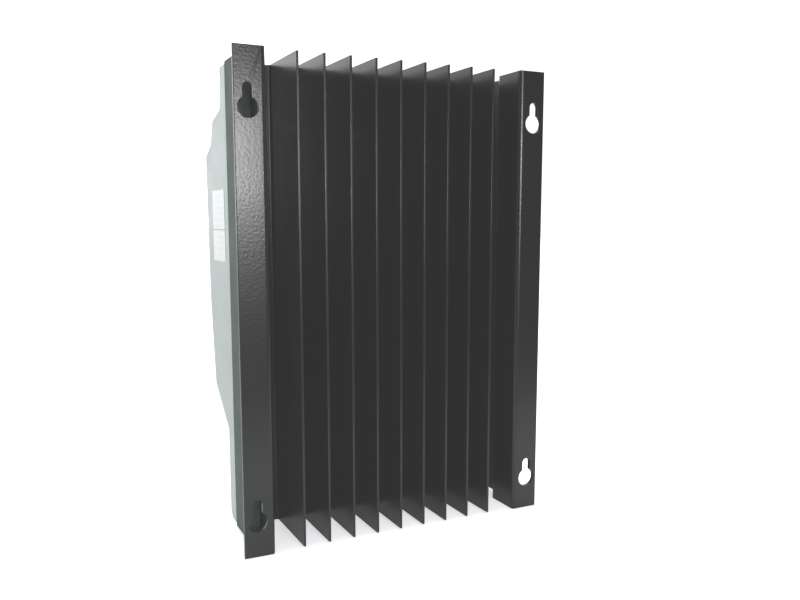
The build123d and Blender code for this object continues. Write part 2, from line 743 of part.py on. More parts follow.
with BuildPart() as power_transistors:
    for x in transistor_x:
        with Locations(front_point(x, transistor_rear, transistor_z)):
            Box(transistor_size[0], transistor_size[1], transistor_height, align=outward)
        lead_x = (x - lead_pitch, x, x + lead_pitch)
        lead_z = lead_root_z - lead_length / 2 + fit_gap
        with Locations(*[front_point(lead, lead_depth, lead_z) for lead in lead_x]):
            Box(lead_width, lead_length + 2 * fit_gap, lead_thickness, align=outward)
        with Locations(*[front_point(lead, lead_depth, lead_tip_z + lead_thickness / 2) for lead in lead_x]):
            Box(lead_width, lead_thickness, plate_front + standoff - fit_gap - lead_depth, align=outward)
    with Locations(*[front_point(x, plate_front, transistor_screw_z) for x in transistor_x]):
        Cylinder(m3 + passing_gap, 4 * transistor_height, mode=Mode.SUBTRACT)
save(power_transistors.part, "power_transistors")

with BuildPart() as transistor_screws:
    head_depth = transistor_rear + transistor_height
    with Locations(*[front_point(x, head_depth, transistor_screw_z) for x in transistor_x]):
        add(pan_screw(m3, m3_head, transistor_screw_length))
save(transistor_screws.part, "transistor_screws")

# ---- inductors: powder cores inside wound copper rings -----------------------------------------------
toroid_depth = main_front + winding_height / 2
with BuildPart() as inductor_cores:
    with Locations(*[front_point(x, toroid_depth, toroid_z) for x in toroid_x]):
        Cylinder(core_outer, core_height)
        Cylinder(core_inner, core_height, mode=Mode.SUBTRACT)
save(inductor_cores.part, "inductor_cores")

with BuildPart() as inductor_windings:
    for x in toroid_x:
        axis_plane = Plane(origin=(x, -toroid_depth, toroid_z), x_dir=(1, 0, 0), z_dir=(0, 0, 1))
        with BuildSketch(axis_plane):
            with Locations(((core_outer + core_inner) / 2, 0)):
                RectangleRounded(core_outer - core_inner + 2 * wire, winding_height, wire)
                Rectangle(core_outer - core_inner + 2 * fit_gap, core_height + 2 * fit_gap, mode=Mode.SUBTRACT)
        revolve(axis=Axis((x, -toroid_depth, toroid_z), (0, 1, 0)), revolution_arc=winding_arc)
save(inductor_windings.part, "inductor_windings")

# ---- capacitors, shunts, fuses and chips --------------------------------------------------------------
capacitor_offsets = (-capacitor_pitch / 2, capacitor_pitch / 2)
capacitor_points = [(x, toroid_z + up) for x in capacitor_offsets for up in capacitor_offsets]
with BuildPart() as bus_capacitors:
    with Locations(*[front_point(x, main_front, z) for x, z in capacitor_points]):
        Cylinder(capacitor_radius, capacitor_height, align=outward)
    fillet(bus_capacitors.faces().group_by(Axis.Y)[0].edges(), radius=capacitor_edge)
save(bus_capacitors.part, "bus_capacitors")

# each shunt is a strip bridge on two feet
with BuildPart() as current_shunts:
    with Locations(*[front_point(x, main_front, shunt_z) for x in shunt_x]):
        Box(shunt_size[0], shunt_size[1], shunt_size[2], align=outward)
        Box(shunt_span, shunt_size[1], shunt_size[2] - shunt_strip, align=outward, mode=Mode.SUBTRACT)
save(current_shunts.part, "current_shunts")

with BuildPart() as board_fuses:
    with Locations(*[front_point(x, main_front, fuse_z) for x in fuse_x]):
        Box(fuse_holder[0], fuse_holder[1], fuse_holder[2], align=outward)
    with Locations(*[front_point(x, main_front + fuse_holder[2], fuse_z) for x in fuse_x]):
        Box(fuse_body[0], fuse_body[1], fuse_body[2], align=outward)
save(board_fuses.part, "board_fuses")

with BuildPart() as control_chips:
    with Locations(front_point(processor_at[0], main_front, processor_at[1])):
        Box(processor_side, processor_side, chip_thickness, align=outward)
    with Locations(*[front_point(x, main_front, z) for x, z in driver_points]):
        Box(driver_size[0], driver_size[1], chip_thickness, align=outward)
save(control_chips.part, "control_chips")

# ---- terminal block -----------------------------------------------------------------------------------
clamp_depth = main_front + clamp_rise
clamp_z = terminal_low + clamp_inset
block_x = sum(pole_x) / len(pole_x)
with BuildPart() as terminal_block:
    with Locations((block_x, -main_front, terminal_low)):
        Box(pole_pitch * len(pole_x), terminal_height, terminal_length, align=standing)
    with Locations(*[(x, -clamp_depth, terminal_low) for x in pole_x]):
        Box(pocket_size[0], pocket_size[1], pocket_size[2], align=outward, mode=Mode.SUBTRACT)
    with Locations(*[front_point(x, clamp_depth, clamp_z) for x in pole_x]):
        Cylinder(clamp_head + passing_gap, terminal_height, align=outward, mode=Mode.SUBTRACT)
save(terminal_block.part, "terminal_block")

cage_depth_shift = (cage_size[1] - cage_bore[1]) / 2 - cage_floor
with BuildPart() as terminal_clamps:
    with Locations(*[(x, -clamp_depth, clamp_z) for x in pole_x]):
        Box(cage_size[0], cage_size[1], cage_size[2])
    with Locations(*[(x, -clamp_depth + cage_depth_shift, clamp_z) for x in pole_x]):
        Box(cage_bore[0], cage_bore[1], cage_size[2], mode=Mode.SUBTRACT)
    with Locations(*[front_point(x, clamp_depth, clamp_z) for x in pole_x]):
        Cylinder(m5 + screw_gap, cage_size[1], align=outward, mode=Mode.SUBTRACT)
save(terminal_clamps.part, "terminal_clamps")

with BuildPart() as terminal_screws:
    with Locations(*[front_point(x, clamp_depth + cage_size[1] / 2, clamp_z) for x in pole_x]):
        add(pan_screw(m5, clamp_head, clamp_screw_length))
save(terminal_screws.part, "terminal_screws")

# ---- cable grommets: a lip on both sides of the cover's wall -------------------------------------------
with BuildPart() as cable_grommets:
    centers = [(x, grommet_rise) for x in pole_x]
    with Locations(*[on_plane(slope_plane, x, y, screw_gap) for x, y in centers]):
        Cylinder(grommet_flange, grommet_lip, align=outward)
    with Locations(*[on_plane(slope_plane, x, y, -wall - screw_gap) for x, y in centers]):
        Cylinder(grommet_flange, grommet_lip, align=inward)
    with Locations(*[on_plane(slope_plane, x, y, -wall / 2) for x, y in centers]):
        Cylinder(cable_hole - fit_gap, wall + grommet_lip)
        Cylinder(grommet_bore, 6 * wall, mode=Mode.SUBTRACT)
save(cable_grommets.part, "cable_grommets")

# ---- sockets, standing on the main board with their mouths downwards -----------------------------------
for name, x, opening in (("comm_jack", comm_x, comm_opening), ("sensor_jack", sensor_x, sensor_opening)):
    socket_across = opening[0] - socket_margin
    socket_deep = opening[1] - socket_margin - jack_wall
    with BuildPart() as jack:
        with Locations((x, -main_front, terminal_low)):
            Box(socket_across, socket_deep, jack_length, align=standing)
        with Locations((x, -main_front - jack_wall, terminal_low)):
            Box(
                socket_across - 2 * jack_wall, socket_deep - 2 * jack_wall, jack_length - 2 * jack_wall,
                align=standing, mode=Mode.SUBTRACT,
            )
    save(jack.part, name)

# ---- blank labels on the side of the cover ---------------------------------------------------------------
for name, low, high in (("side_label_lower", *label_lower), ("side_label_upper", *label_upper)):
    with BuildPart() as label:
        with BuildSketch(side_view(case_half + label_thickness)):
            with Locations(((label_depth[0] + label_depth[1]) / 2, (low + high) / 2)):
                RectangleRounded(label_depth[1] - label_depth[0], high - low, label_radius)
        extrude(amount=label_thickness)
    save(label.part, name)
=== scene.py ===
import bpy
import bmesh
import json
import math
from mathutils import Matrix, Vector


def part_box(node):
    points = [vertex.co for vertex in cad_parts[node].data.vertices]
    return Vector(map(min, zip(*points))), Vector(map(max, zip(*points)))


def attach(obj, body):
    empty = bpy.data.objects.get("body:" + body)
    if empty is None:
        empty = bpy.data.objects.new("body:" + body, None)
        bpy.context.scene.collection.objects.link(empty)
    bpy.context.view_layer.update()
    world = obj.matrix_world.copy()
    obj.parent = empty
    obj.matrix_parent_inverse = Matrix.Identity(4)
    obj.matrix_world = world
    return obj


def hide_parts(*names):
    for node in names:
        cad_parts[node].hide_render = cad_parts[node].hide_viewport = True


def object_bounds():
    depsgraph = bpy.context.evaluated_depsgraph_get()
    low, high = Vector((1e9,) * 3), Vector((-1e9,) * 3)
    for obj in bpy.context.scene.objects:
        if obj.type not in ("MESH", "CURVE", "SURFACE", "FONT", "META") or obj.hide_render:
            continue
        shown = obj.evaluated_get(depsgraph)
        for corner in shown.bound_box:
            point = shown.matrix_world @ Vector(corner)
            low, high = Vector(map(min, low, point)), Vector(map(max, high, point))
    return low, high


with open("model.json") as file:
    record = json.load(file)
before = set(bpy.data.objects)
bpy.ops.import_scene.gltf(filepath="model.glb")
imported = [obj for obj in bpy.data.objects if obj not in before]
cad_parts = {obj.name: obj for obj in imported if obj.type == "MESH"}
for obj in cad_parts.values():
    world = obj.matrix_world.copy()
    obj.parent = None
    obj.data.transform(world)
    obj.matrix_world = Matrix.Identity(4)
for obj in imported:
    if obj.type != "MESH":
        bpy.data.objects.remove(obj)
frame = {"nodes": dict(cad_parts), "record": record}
cad_low, cad_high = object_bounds()
CAD_BOX = [list(cad_low), list(cad_high)]
NODES = frame["nodes"]

# The frame: X to the right seen from the front, Z up, the wall is the plane Y = 0, the front faces -Y,
# and the origin is on the wall in the middle of the four keyholes. Lengths are in metres.
MM = 0.001
BEVEL_SAMPLES = 4              # rays per point for the rounded-edge normal
WORN_EDGE = 0.4 * MM           # radius that marks the edges of a material without rounded edges
INK = 0.05 * MM                # height of printed marks
FLOOR_GAP = 0.2 * MM           # between the floor and the lowest point of the part
MERGE = 1e-6                   # points closer than this are one point

# the camera, solved from the photo's perspective
CAMERA_PLACE = (0.2170, 0.4405, 0.05875)
CAMERA_YAW = math.radians(25.94)
CAMERA_PITCH = math.radians(7.45)
CAMERA_LENS = 36.0
CAMERA_SHIFT = (0.0015, 0.0271)

# radius of the rounded long edges of each node that has them
EDGE_RADII = {
    "heat_sink": 0.2 * MM,
    "bracket_left": 0.35 * MM,
    "bracket_right": 0.35 * MM,
    "side_rail_left": 0.4 * MM,
    "side_rail_right": 0.4 * MM,
    "front_cover": 0.5 * MM,
    "wiring_cover": 0.4 * MM,
    "terminal_block": 0.25 * MM,
    "lcd_frame": 0.2 * MM,
    "key_menu": 0.35 * MM,
    "key_down": 0.35 * MM,
    "key_up": 0.35 * MM,
    "key_enter": 0.35 * MM,
    "comm_jack": 0.25 * MM,
    "sensor_jack": 0.25 * MM,
    "board_fuses": 0.3 * MM,
    "control_chips": 0.12 * MM,
    "power_transistors": 0.15 * MM,
    "ribbon_connectors": 0.2 * MM,
}
KEYS = ("menu", "down", "up", "enter")


# ---- node helpers --------------------------------------------------------------------------------
class Nodes:
    """Short calls for the nodes of a material or of the world."""

    def __init__(self, tree):
        self.tree = tree

    def node(self, kind, **settings):
        made = self.tree.nodes.new(kind)
        for key, value in settings.items():
            setattr(made, key, value)
        return made

    def link(self, output, target):
        self.tree.links.new(output, target)

    def feed(self, socket, value):
        """Links a node's output to a socket, or sets a plain value."""
        if isinstance(value, bpy.types.NodeSocket):
            self.link(value, socket)
        else:
            socket.default_value = value

    def for_camera(self):
        """1 for what the camera sees directly, 0 for reflections and other light."""
        return self.node("ShaderNodeLightPath").outputs["Is Camera Ray"]

    def axes(self, vector):
        """The X, Y and Z of a vector."""
        parts = self.node("ShaderNodeSeparateXYZ")
        self.link(vector, parts.inputs["Vector"])
        return parts.outputs

    def spread(self, value, low, high, from_low=0.3, from_high=0.7, interpolation="LINEAR"):
        """Maps a range of values, by default the usual range of a noise, to another one."""
        made = self.node("ShaderNodeMapRange", interpolation_type=interpolation)
        made.inputs["From Min"].default_value = from_low
        made.inputs["From Max"].default_value = from_high
        made.inputs["To Min"].default_value = low
        made.inputs["To Max"].default_value = high
        self.link(value, made.inputs["Value"])
        return made.outputs["Result"]

    def combine(self, operation, first, second):
        made = self.node("ShaderNodeMath", operation=operation)
        self.feed(made.inputs[0], first)
        self.feed(made.inputs[1], second)
        return made.outputs[0]

    def times(self, first, second):
        return self.combine("MULTIPLY", first, second)

    def most(self, first, second):
        return self.combine("MAXIMUM", first, second)


class Shader(Nodes):
    """A material under construction, around a Principled shader.

    With an edge radius, the edges of the part catch the light as if they were rounded that much.
    """

    def __init__(self, name, edge_radius=0.0):
        self.material = bpy.data.materials.new(name)
        self.material.use_nodes = True
        super().__init__(self.material.node_tree)
        self.bsdf = self.tree.nodes["Principled BSDF"]
        self.coords = self.node("ShaderNodeTexCoord").outputs["Object"]
        self.normal = None
        self.rounded = None
        if edge_radius > 0.0:
            self.rounded = self.rounded_normal(edge_radius)
            self.normal = self.rounded
            self.link(self.normal, self.bsdf.inputs["Normal"])

    def put(self, **values):
        """Inputs of the Principled shader, with underscores for the spaces in their names."""
        for key, value in values.items():
            self.feed(self.bsdf.inputs[key.replace("_", " ")], value)

    def rounded_normal(self, radius):
        bevel = self.node("ShaderNodeBevel", samples=BEVEL_SAMPLES)
        bevel.inputs["Radius"].default_value = radius
        return bevel.outputs["Normal"]

    def stretch(self, x, y, z):
        """Coordinates scaled by axis, for grain that runs one way."""
        mapping = self.node("ShaderNodeMapping")
        mapping.inputs["Scale"].default_value = (x, y, z)
        self.link(self.coords, mapping.inputs["Vector"])
        return mapping.outputs["Vector"]

    def noise(self, scale, detail=2.0, rough=0.5, vector=None):
        made = self.node("ShaderNodeTexNoise")
        made.inputs["Scale"].default_value = scale
        made.inputs["Detail"].default_value = detail
        made.inputs["Roughness"].default_value = rough
        self.link(vector or self.coords, made.inputs["Vector"])
        return made.outputs["Fac"]

    def cells(self, scale):
        made = self.node("ShaderNodeTexVoronoi", feature="SMOOTH_F1")
        made.inputs["Scale"].default_value = scale
        self.link(self.coords, made.inputs["Vector"])
        return made.outputs["Distance"]

    def waves(self, scale, direction):
        """Even bands across one axis."""
        made = self.node("ShaderNodeTexWave", bands_direction=direction)
        made.inputs["Scale"].default_value = scale
        made.inputs["Distortion"].default_value = 0.0
        self.link(self.coords, made.inputs["Vector"])
        return made.outputs["Fac"]

    def mix(self, factor, first, second):
        """A blend of two colours. The numbers are the colour sockets of Blender's Mix node."""
        made = self.node("ShaderNodeMix", data_type="RGBA")
        self.feed(made.inputs[0], factor)
        self.feed(made.inputs[6], first)
        self.feed(made.inputs[7], second)
        return made.outputs[2]

    def wear(self):
        """1 along the edges, where the rounded normal leaves the true one, and 0 elsewhere.

        Noise breaks it up.
        """
        if self.rounded is None:
            self.rounded = self.rounded_normal(WORN_EDGE)
        turned = self.node("ShaderNodeVectorMath", operation="DOT_PRODUCT")
        self.link(self.rounded, turned.inputs[0])
        self.link(self.node("ShaderNodeNewGeometry").outputs["Normal"], turned.inputs[1])
        edge = self.spread(turned.outputs["Value"], 0.0, 1.0, 0.99, 0.85)
        return self.times(edge, self.spread(self.noise(180.0, 4.0), 0.2, 1.0, 0.42, 0.58))

    def bump(self, height, distance, strength):
        """Adds relief on top of the relief given before."""
        made = self.node("ShaderNodeBump")
        made.inputs["Distance"].default_value = distance
        made.inputs["Strength"].default_value = strength
        self.link(height, made.inputs["Height"])
        if self.normal is not None:
            self.link(self.normal, made.inputs["Normal"])
        self.normal = made.outputs["Normal"]
        self.link(self.normal, self.bsdf.inputs["Normal"])


def rgb(red, green, blue):
    return (red, green, blue, 1.0)


def brighter(color, factor, lift=0.0):
    """A lighter tint of a colour, for edges."""
    return rgb(*[min(1.0, factor * c + lift) for c in color])


def moulded(name, dark, light, rough, grain=900.0, depth=0.03 * MM):
    """Fine-textured moulding: two close tints, a spark-eroded grain and slightly polished edges."""
    s = Shader(name, 0.3 * MM)
    tint = s.mix(s.noise(14.0, 2.0), rgb(*dark), rgb(*light))
    s.put(Base_Color=s.mix(s.times(s.wear(), 0.25), tint, brighter(light, 1.25, 0.01)))
    s.put(Roughness=s.spread(s.noise(70.0, 3.0), rough - 0.05, rough + 0.05), IOR=1.5)
    s.bump(s.cells(grain), depth, 0.6)
    s.bump(s.noise(2.2 * grain, 3.0), 0.5 * depth, 0.5)
    return s.material


# ---- materials: one function for each slot of the record --------------------------------------------
def black_coat():
    """Semi-gloss powder coat with orange peel, a little dust in broad patches and paler edges."""
    s = Shader("black_coat", 0.5 * MM)
    base = s.mix(s.noise(12.0, 2.0), rgb(0.0062, 0.0067, 0.0067), rgb(0.0078, 0.0083, 0.0086))
    patches = s.spread(s.noise(7.0, 3.0), 0.0, 1.0, 0.45, 0.85)
    dusty = s.mix(s.times(patches, 0.006), base, rgb(0.16, 0.16, 0.15))
    s.put(Base_Color=s.mix(s.times(s.wear(), 0.06), dusty, rgb(0.30, 0.31, 0.31)))
    s.put(Roughness=s.spread(s.noise(30.0, 2.0), 0.25, 0.275), IOR=1.5)
    s.bump(s.noise(560.0, 1.0), 0.065 * MM, 0.8)
    return s.material


def grey_coat():
    """Matt grey-green coat with fine lengthwise rolling marks."""
    s = Shader("grey_coat", 0.4 * MM)
    base = s.mix(s.noise(20.0, 4.0, 0.6), rgb(0.052, 0.080, 0.070), rgb(0.066, 0.096, 0.086))
    s.put(Base_Color=s.mix(s.times(s.wear(), 0.15), base, rgb(0.30, 0.33, 0.32)))
    s.put(Roughness=s.spread(s.noise(60.0, 3.0), 0.58, 0.68), IOR=1.36)
    s.bump(s.noise(500.0, 2.0), 0.04 * MM, 0.6)
    s.bump(s.noise(60.0, 3.0, 0.5, s.stretch(6.0, 6.0, 0.05)), 0.01 * MM, 0.5)
    return s.material


def cover_plastic():
    """Light grey-green cover, with the finest grain of the mouldings."""
    return moulded("cover_plastic", (0.452, 0.512, 0.497), (0.466, 0.525, 0.511), 0.42, 1100.0)


def overlay_plastic():
    """Satin printed sheet: very fine even grain under a faint sheen."""
    s = Shader("overlay_plastic")
    s.put(Base_Color=s.mix(s.noise(30.0, 3.0), rgb(0.020, 0.025, 0.030), rgb(0.026, 0.032, 0.038)))
    s.put(Roughness=s.spread(s.noise(120.0, 2.0), 0.34, 0.42), Coat_Weight=0.15, Coat_Roughness=0.3)
    s.bump(s.cells(2600.0), 0.012 * MM, 0.6)
    return s.material


def lens():
    """Clear window with faint smears."""
    s = Shader("lens")
    s.put(Base_Color=rgb(0.94, 0.97, 0.97), Transmission_Weight=1.0, IOR=1.58)
    s.put(Roughness=s.spread(s.noise(14.0, 5.0, 0.7), 0.0, 0.07, 0.5, 0.8))
    s.bump(s.noise(45.0, 2.0), 0.004 * MM, 0.4)
    return s.material


def lcd():
    """Grey-green display glass with a faint pixel grid and a weak glow."""
    s = Shader("lcd")
    tint = s.mix(s.noise(9.0, 2.0), rgb(0.30, 0.37, 0.25), rgb(0.36, 0.43, 0.30))
    grid = s.times(s.waves(700.0, "X"), s.waves(700.0, "Z"))
    s.put(Base_Color=s.mix(s.times(grid, 0.18), tint, rgb(0.22, 0.28, 0.19)), Roughness=0.22)
    s.put(Emission_Color=rgb(0.40, 0.55, 0.32), Emission_Strength=0.06)
    return s.material


def black_plastic():
    """Matt black moulding of the sockets and electronic parts."""
    return moulded("black_plastic", (0.017, 0.017, 0.018), (0.026, 0.026, 0.027), 0.48)


def key_plastic():
    """Dark grey moulding of the keys."""
    return moulded("key_plastic", (0.050, 0.056, 0.060), (0.066, 0.072, 0.077), 0.40, 1500.0, 0.02 * MM)


def light_guide():
    """Milky clear plastic."""
    s = Shader("light_guide")
    s.put(Base_Color=s.mix(s.noise(300.0, 2.0), rgb(0.72, 0.86, 0.74), rgb(0.82, 0.92, 0.83)))
    s.put(Roughness=0.22, Transmission_Weight=0.55, IOR=1.49, Subsurface_Weight=0.3)
    s.put(Subsurface_Radius=(0.8 * MM, 1.0 * MM, 0.8 * MM))
    s.bump(s.noise(900.0, 2.0), 0.008 * MM, 0.5)
    return s.material


def metal(name, dark, light, rough):
    """Metal with a mottled tint, fine pits and bright edges."""
    s = Shader(name)
    grain = s.noise(160.0, 5.0, 0.6)
    tint = s.mix(grain, rgb(*dark), rgb(*light))
    s.put(Base_Color=s.mix(s.times(s.wear(), 0.35), tint, brighter(light, 1.2)))
    s.put(Metallic=1.0, Roughness=s.spread(s.noise(240.0, 4.0), rough - 0.07, rough + 0.08))
    s.bump(grain, 0.012 * MM, 0.5)
    s.bump(s.cells(1200.0), 0.006 * MM, 0.5)
    return s.material


def zinc_screw():
    return metal("zinc_screw", (0.50, 0.51, 0.53), (0.64, 0.65, 0.66), 0.30)


def black_screw():
    return metal("black_screw", (0.030, 0.030, 0.032), (0.060, 0.060, 0.063), 0.38)


def brass():
    return metal("brass", (0.62, 0.46, 0.20), (0.74, 0.57, 0.28), 0.26)


def copper_wire():
    """Copper under clear enamel."""
    s = Shader("copper_wire")
    s.put(Base_Color=s.mix(s.noise(90.0, 3.0), rgb(0.46, 0.16, 0.06), rgb(0.60, 0.24, 0.10)))
    s.put(Metallic=1.0, Roughness=0.3)
    s.put(Coat_Weight=0.7, Coat_Roughness=0.12, Coat_Tint=rgb(1.0, 0.82, 0.6))
    s.bump(s.noise(700.0, 2.0), 0.01 * MM, 0.4)
    return s.material


def board():
    """Solder mask over copper: tracks show as slightly raised, lighter lanes."""
    s = Shader("board")
    lanes = s.node("ShaderNodeTexBrick", offset=0.37, squash=0.6, squash_frequency=3)
    turned = s.node("ShaderNodeMapping")
    turned.inputs["Rotation"].default_value = (math.radians(90.0), 0.0, 0.0)
    s.link(s.coords, turned.inputs["Vector"])
    s.link(turned.outputs["Vector"], lanes.inputs["Vector"])
    lanes.inputs["Scale"].default_value = 60.0
    lanes.inputs["Mortar Size"].default_value = 0.035
    lanes.inputs["Mortar Smooth"].default_value = 0.1
    lanes.inputs["Bias"].default_value = 0.0
    mask = s.mix(s.noise(25.0, 3.0), rgb(0.010, 0.085, 0.035), rgb(0.016, 0.105, 0.045))
    s.put(Base_Color=s.mix(lanes.outputs["Fac"], mask, rgb(0.035, 0.19, 0.085)))
    s.put(Roughness=0.28, Coat_Weight=0.4, Coat_Roughness=0.15)
    s.bump(lanes.outputs["Fac"], 0.035 * MM, 0.8)
    return s.material


def terminal_green():
    """Green moulding of the terminal block."""
    return moulded("terminal_green", (0.022, 0.155, 0.065), (0.030, 0.185, 0.080), 0.42)


def core():
    """Yellow coating of a powder core, with the coarsest grain."""
    return moulded("core", (0.44, 0.36, 0.05), (0.52, 0.43, 0.07), 0.5, 700.0, 0.06 * MM)


def can():
    """Glossy shrink sleeve of the capacitors."""
    s = Shader("can")
    s.put(Base_Color=s.mix(s.noise(40.0, 3.0), rgb(0.012, 0.016, 0.030), rgb(0.020, 0.025, 0.042)))
    s.put(Roughness=s.spread(s.noise(90.0, 3.0), 0.18, 0.28), Coat_Weight=0.5, Coat_Roughness=0.1)
    s.bump(s.noise(120.0, 3.0), 0.03 * MM, 0.4)
    return s.material


def grey_pad():
    """Soft grey heat-conducting pad."""
    return moulded("grey_pad", (0.33, 0.33, 0.36), (0.39, 0.39, 0.42), 0.62)


def grommet_rubber():
    """Dull black rubber."""
    s = Shader("grommet_rubber")
    s.put(Base_Color=s.mix(s.noise(60.0, 5.0, 0.7), rgb(0.010, 0.010, 0.011), rgb(0.024, 0.024, 0.024)))
    s.put(Roughness=s.spread(s.noise(150.0, 3.0), 0.55, 0.70), Sheen_Weight=0.15)
    s.bump(s.noise(1400.0, 3.0), 0.03 * MM, 0.6)
    return s.material


def ribbon():
    """Grey flat cable: ridges for its cores, with painted shade darkening the grooves between them."""
    s = Shader("ribbon")
    ridges_and_groove_shade = s.waves(250.0, "X")
    # the same bands drive the colour: painted shade, darker in each groove, lighter on each ridge
    s.put(Base_Color=s.mix(ridges_and_groove_shade, rgb(0.46, 0.47, 0.50), rgb(0.66, 0.67, 0.70)), Roughness=0.38)
    s.bump(ridges_and_groove_shade, 0.2 * MM, 0.8)
    return s.material


def label():
    """Blank film label, a little creased, with faint grey rule lines and no lettering."""
    s = Shader("label")
    rules = s.spread(s.waves(85.0, "Z"), 0.0, 0.3, 0.93, 0.96)
    paper = s.mix(s.noise(40.0, 4.0), rgb(0.83, 0.84, 0.84), rgb(0.90, 0.90, 0.90))
    s.put(Base_Color=s.mix(s.times(rules, 0.5), paper, rgb(0.45, 0.47, 0.48)))
    s.put(Roughness=s.spread(s.noise(80.0, 3.0), 0.34, 0.46))
    s.bump(s.noise(30.0, 3.0), 0.05 * MM, 0.4)
    return s.material


def white_ink():
    """Printed marks on the overlay and the keys."""
    s = Shader("white_ink")
    s.put(Base_Color=s.mix(s.noise(500.0, 2.0), rgb(0.68, 0.71, 0.72), rgb(0.76, 0.78, 0.79)))
    s.put(Roughness=0.45)
    s.bump(s.noise(1800.0, 2.0), 0.01 * MM, 0.5)
    return s.material


def lcd_ink():
    """Dark display segments, also the printed marks on the cover."""
    s = Shader("lcd_ink")
    s.put(Base_Color=s.mix(s.noise(90.0, 2.0), rgb(0.020, 0.026, 0.018), rgb(0.035, 0.042, 0.030)))
    s.put(Roughness=0.3)
    s.bump(s.noise(1200.0, 2.0), 0.01 * MM, 0.3)
    return s.material


MAKERS = {made.__name__: made for made in (
    black_coat, grey_coat, cover_plastic, overlay_plastic, lens, lcd, black_plastic, key_plastic,
    light_guide, zinc_screw, black_screw, brass, copper_wire, board, terminal_green, core, can,
    grey_pad, grommet_rubber, ribbon, label, white_ink, lcd_ink,
)}
MATERIALS = {}


def material(name):
    """Each material is made once, when it is first needed."""
    if name not in MATERIALS:
        MATERIALS[name] = MAKERS[name]()
    return MATERIALS[name]


# ---- CAD nodes: materials and softened edges --------------------------------------------------------
SHARP = math.radians(28.0)     # edges turned more than this stay sharp or get a radius
LONG = 6.0 * MM                # only edges longer than this get a radius


def edge_key(first, second):
    """The same key for every copy of an edge, whichever face it belongs to."""
    return frozenset(tuple(round(c / MERGE) for c in point) for point in (first, second))


def mark_edges(mesh):
    """Writes which edges of a mesh are sharp, and which of them are long outer ones, to be rounded off."""
    build = bmesh.new()
    build.from_mesh(mesh)
    bmesh.ops.remove_doubles(build, verts=build.verts, dist=MERGE)
    build.normal_update()
    sharp, rounded = set(), set()
    for edge in build.edges:
        if len(edge.link_faces) == 2 and edge.calc_face_angle() > SHARP:
            key = edge_key(*(v.co for v in edge.verts))
            sharp.add(key)
            if edge.is_convex and edge.calc_length() > LONG:
                rounded.add(key)
    build.free()
    points = [v.co for v in mesh.vertices]
    keys = [edge_key(points[e.vertices[0]], points[e.vertices[1]]) for e in mesh.edges]
    layer = mesh.attributes.new("rounded", "FLOAT", "EDGE")
    layer.data.foreach_set("value", [float(key in rounded) for key in keys])
    layer = mesh.attributes.get("sharp_edge") or mesh.attributes.new("sharp_edge", "BOOLEAN", "EDGE")
    layer.data.foreach_set("value", [key in sharp for key in keys])


def soften(node, width):
    """Joins a node's faces and rounds its long outer edges."""
    piece = NODES[node]
    mark_edges(piece.data)
    weld = piece.modifiers.new("joined_faces", "WELD")
    weld.merge_threshold = MERGE
    bevel = piece.modifiers.new("rounded_edges", "BEVEL")
    bevel.width = width
    bevel.segments = 3
    bevel.limit_method = "WEIGHT"
    bevel.edge_weight = "rounded"
    bevel.use_clamp_overlap = False
    normals = piece.modifiers.new("even_faces", "WEIGHTED_NORMAL")
    normals.keep_sharp = True
    normals.weight = 60


def dress_nodes():
    """Gives each node the material that its slot in the record names, and rounds the edges of some."""
    for entry in frame["record"]["subparts"]:
        mesh = NODES[entry["node"]].data
        mesh.materials.clear()
        mesh.materials.append(material(entry["material_slot"]))
        mesh.shade_smooth()
    for node, width in EDGE_RADII.items():
        soften(node, width)


# ---- planes of the tilted faces ---------------------------------------------------------------------
class Face:
    """The largest flat front face of a node: its middle, its right and up directions and its normal."""

    def __init__(self, node):
        areas = {}
        for polygon in NODES[node].data.polygons:
            if polygon.normal.y < -0.5:  # turned towards the front
                direction = tuple(round(c, 2) for c in polygon.normal)
                areas.setdefault(direction, []).append(polygon)
        flat = max(areas.values(), key=lambda group: sum(p.area for p in group))
        self.out = sum((p.normal * p.area for p in flat), Vector()).normalized()
        self.right = Vector((1.0, 0.0, 0.0))
        self.up = self.out.cross(self.right).normalized()
        if self.up.z < 0.0:
            self.up = -self.up
        low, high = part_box(node)
        middle = (low + high) / 2
        height = max(p.center.dot(self.out) for p in flat)
        self.middle = middle + self.out * (height - middle.dot(self.out))

    def place(self, x, y, out):
        """The point at these coordinates, lifted off the face by out."""
        return self.middle + self.right * x + self.up * y + self.out * out

    def coordinates(self, point):
        """Where a point lies, measured along the face from its middle."""
        offset = point - self.middle
        return offset.dot(self.right), offset.dot(self.up)


def center(node):
    """The middle of a node's box."""
    low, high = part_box(node)
    return (low + high) / 2


# ---- flat marks: thin closed prisms on a face --------------------------------------------------------
def plates(name, face, outlines, material_name, body="case", out=0.0, thickness=INK):
    """One mesh of closed prisms, each standing on an outline given in the face's coordinates."""
    mesh = bpy.data.meshes.new(name)
    build = bmesh.new()
    for outline in outlines:
        lower = [build.verts.new(face.place(x, y, out)) for x, y in outline]
        upper = [build.verts.new(face.place(x, y, out + thickness)) for x, y in outline]
        build.faces.new(list(reversed(lower)))
        build.faces.new(upper)
        count = len(outline)
        for i in range(count):
            j = (i + 1) % count
            build.faces.new((lower[i], lower[j], upper[j], upper[i]))
    bmesh.ops.recalc_face_normals(build, faces=build.faces)
    build.to_mesh(mesh)
    build.free()
    piece = bpy.data.objects.new(name, mesh)
    bpy.context.collection.objects.link(piece)
    mesh.materials.append(material(material_name))
    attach(piece, body)


def turned_outline(points, x, y, turn):
    """Points around a middle, turned by an angle."""
    c, s = math.cos(turn), math.sin(turn)
    return [(x + c * u - s * v, y + s * u + c * v) for u, v in points]


def bar(x, y, width, height, turn=0.0):
    """Outline of a rectangle around a middle, turned by an angle."""
    u, v = width / 2, height / 2
    return turned_outline(((-u, -v), (u, -v), (u, v), (-u, v)), x, y, turn)


